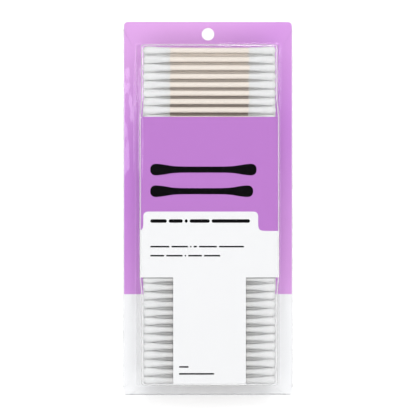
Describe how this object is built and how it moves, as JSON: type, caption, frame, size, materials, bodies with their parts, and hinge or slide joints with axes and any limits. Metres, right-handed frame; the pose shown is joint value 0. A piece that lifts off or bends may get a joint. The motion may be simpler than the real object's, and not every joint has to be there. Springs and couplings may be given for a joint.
{
  "type": "cotton swab box",
  "caption": "Clear slide blister pack on a printed backing card, with a domed front, a T-shaped label insert and stacked layers of double-ended cotton swabs.",
  "frame": {"origin": "centre of the pack's back, in the plane of the folded lips that it rests on", "axes": "+Z out of the pack's front, +Y towards its hang hole, +X to the right as seen from the front"},
  "size_m": [0.1012, 0.222, 0.0572],
  "materials": {
    "clear_sheet": "clear thermoformed sheet, glossy",
    "printed_board": "thin coated board, printed purple above and white below",
    "label_board": "thin coated board, printed purple above and white below",
    "paper_stick": "rolled uncoated paper, cream white",
    "cotton": "wound cotton fibre, white"
  },
  "bodies": {
    "pack": {"blister_shell": "clear_sheet", "label_insert": "label_board", "paper_sticks_01": "paper_stick", "paper_sticks_02": "paper_stick", "paper_sticks_03": "paper_stick", "paper_sticks_04": "paper_stick", "paper_sticks_05": "paper_stick", "paper_sticks_06": "paper_stick", "paper_sticks_07": "paper_stick", "paper_sticks_08": "paper_stick", "paper_sticks_09": "paper_stick", "paper_sticks_10": "paper_stick", "paper_sticks_11": "paper_stick", "paper_sticks_12": "paper_stick", "paper_sticks_13": "paper_stick", "cotton_buds_01": "cotton", "cotton_buds_02": "cotton", "cotton_buds_03": "cotton", "cotton_buds_04": "cotton", "cotton_buds_05": "cotton", "cotton_buds_06": "cotton", "cotton_buds_07": "cotton", "cotton_buds_08": "cotton", "cotton_buds_09": "cotton", "cotton_buds_10": "cotton", "cotton_buds_11": "cotton", "cotton_buds_12": "cotton", "cotton_buds_13": "cotton"},
    "card": {"backing_card": "printed_board"}
  },
  "joints": [
    {"name": "card_slide", "type": "slide", "parent": "pack", "child": "card", "axis": [0, 1, 0], "range_m": [0, 0.19]}
  ]
}
